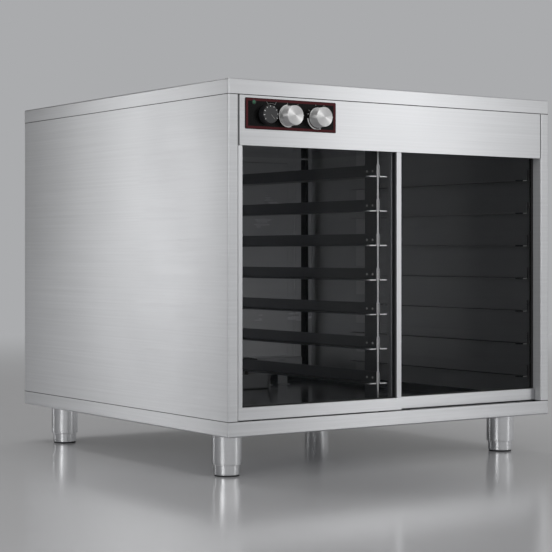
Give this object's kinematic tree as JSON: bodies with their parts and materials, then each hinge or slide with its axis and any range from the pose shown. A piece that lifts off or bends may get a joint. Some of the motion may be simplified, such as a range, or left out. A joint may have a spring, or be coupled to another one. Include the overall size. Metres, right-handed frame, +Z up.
{
  "type": "proofing cabinet",
  "caption": "Stainless dough proofing cabinet on legs with sliding glass doors, two columns of tray runners and a knob panel.",
  "frame": {"origin": "on the floor under the centre of the bounding box, knobs and cable gland included", "axes": "+Z up, the doors face -Y, +X to the right of someone facing the doors"},
  "size_m": [0.92, 1.016, 0.849],
  "materials": {
    "brushed_skin": "brushed",
    "liner_steel": "satin",
    "polished_steel": "polished",
    "turned_aluminium": "turned",
    "anodised_aluminium": "satin anodised",
    "panel_black": "printed, semi-gloss",
    "black_plastic": "moulded, matt",
    "white_nylon": "moulded, matt",
    "lamp_green": "translucent",
    "door_glass": "clear tempered",
    "seal_rubber": "matt",
    "mineral_wool": "fibrous"
  },
  "bodies": {
    "cabinet": {"base_pan": "brushed_skin", "cable_gland": "black_plastic", "ceiling_panel": "liner_steel", "centre_left_runners": "liner_steel", "centre_rack_posts": "liner_steel", "centre_right_runners": "liner_steel", "control_plate": "panel_black", "floor_pan": "liner_steel", "front_left_leg": "polished_steel", "front_right_leg": "polished_steel", "header_panel": "brushed_skin", "heater_terminal_block": "black_plastic", "humidifier_cover": "liner_steel", "humidity_control": "black_plastic", "immersion_heater": "polished_steel", "inner_back_wall": "liner_steel", "insulation": "mineral_wool", "left_inner_wall": "liner_steel", "left_rack_post": "liner_steel", "left_runners": "liner_steel", "left_side_panel": "brushed_skin", "lower_door_track": "anodised_aluminium", "pilot_lamp": "lamp_green", "rear_baffle": "liner_steel", "rear_left_leg": "polished_steel", "rear_panel": "brushed_skin", "rear_right_leg": "polished_steel", "right_inner_wall": "liner_steel", "right_rack_post": "liner_steel", "right_runners": "liner_steel", "right_side_panel": "brushed_skin", "temperature_control": "black_plastic", "timer_control": "black_plastic", "top_cover": "brushed_skin", "upper_door_track": "anodised_aluminium", "water_pan": "liner_steel"},
    "left_door": {"left_door_bottom_rail": "anodised_aluminium", "left_door_glass": "door_glass", "left_door_jamb_stile": "anodised_aluminium", "left_door_meeting_stile": "anodised_aluminium", "left_door_top_rail": "anodised_aluminium"},
    "left_door_outer_roller": {"left_door_outer_roller": "white_nylon"},
    "left_door_inner_roller": {"left_door_inner_roller": "white_nylon"},
    "right_door": {"right_door_bottom_rail": "anodised_aluminium", "right_door_edge_seal": "seal_rubber", "right_door_glass": "door_glass", "right_door_meeting_stile": "anodised_aluminium", "right_door_top_rail": "anodised_aluminium"},
    "right_door_outer_roller": {"right_door_outer_roller": "white_nylon"},
    "right_door_inner_roller": {"right_door_inner_roller": "white_nylon"},
    "temperature_dial": {"temperature_dial": "black_plastic"},
    "humidity_knob": {"humidity_knob": "turned_aluminium"},
    "timer_knob": {"timer_knob": "turned_aluminium"},
    "front_left_foot": {"front_left_foot": "polished_steel"},
    "front_right_foot": {"front_right_foot": "polished_steel"},
    "rear_left_foot": {"rear_left_foot": "polished_steel"},
    "rear_right_foot": {"rear_right_foot": "polished_steel"}
  },
  "joints": [
    {"name": "left_door_slide", "type": "slide", "parent": "cabinet", "child": "left_door", "axis": [1, 0, 0], "range_m": [0, 0.42525]},
    {"name": "left_door_outer_roller_spin", "type": "hinge", "parent": "left_door", "child": "left_door_outer_roller", "pos_m": [-0.383, -0.468, 0.1333], "axis": [0, 1, 0], "range_deg": [0, 3046.6]},
    {"name": "left_door_inner_roller_spin", "type": "hinge", "parent": "left_door", "child": "left_door_inner_roller", "pos_m": [-0.04225, -0.468, 0.1333], "axis": [0, 1, 0], "range_deg": [0, 3046.6]},
    {"name": "right_door_slide", "type": "slide", "parent": "cabinet", "child": "right_door", "axis": [1, 0, 0], "range_m": [-0.42525, 0]},
    {"name": "right_door_outer_roller_spin", "type": "hinge", "parent": "right_door", "child": "right_door_outer_roller", "pos_m": [0.383, -0.452, 0.1333], "axis": [0, 1, 0], "range_deg": [-3046.6, 0]},
    {"name": "right_door_inner_roller_spin", "type": "hinge", "parent": "right_door", "child": "right_door_inner_roller", "pos_m": [0.04225, -0.452, 0.1333], "axis": [0, 1, 0], "range_deg": [-3046.6, 0]},
    {"name": "temperature_dial_turn", "type": "hinge", "parent": "cabinet", "child": "temperature_dial", "pos_m": [-0.364, -0.4805, 0.7755], "axis": [0, 1, 0], "range_deg": [0, 270]},
    {"name": "humidity_knob_turn", "type": "hinge", "parent": "cabinet", "child": "humidity_knob", "pos_m": [-0.308, -0.4805, 0.7755], "axis": [0, 1, 0], "range_deg": [0, 270]},
    {"name": "timer_knob_turn", "type": "hinge", "parent": "cabinet", "child": "timer_knob", "pos_m": [-0.231, -0.4805, 0.7755], "axis": [0, 1, 0], "range_deg": [0, 300]},
    {"name": "front_left_foot_adjust", "type": "slide", "parent": "cabinet", "child": "front_left_foot", "axis": [0, 0, -1], "range_m": [0, 0.025]},
    {"name": "front_right_foot_adjust", "type": "slide", "parent": "cabinet", "child": "front_right_foot", "axis": [0, 0, -1], "range_m": [0, 0.025]},
    {"name": "rear_left_foot_adjust", "type": "slide", "parent": "cabinet", "child": "rear_left_foot", "axis": [0, 0, -1], "range_m": [0, 0.025]},
    {"name": "rear_right_foot_adjust", "type": "slide", "parent": "cabinet", "child": "rear_right_foot", "axis": [0, 0, -1], "range_m": [0, 0.025]}
  ],
  "couplings": [
    {"joint": "left_door_outer_roller_spin", "follows": "left_door_slide", "rad_per_m": 125},
    {"joint": "left_door_inner_roller_spin", "follows": "left_door_slide", "rad_per_m": 125},
    {"joint": "right_door_outer_roller_spin", "follows": "right_door_slide", "rad_per_m": 125},
    {"joint": "right_door_inner_roller_spin", "follows": "right_door_slide", "rad_per_m": 125}
  ]
}
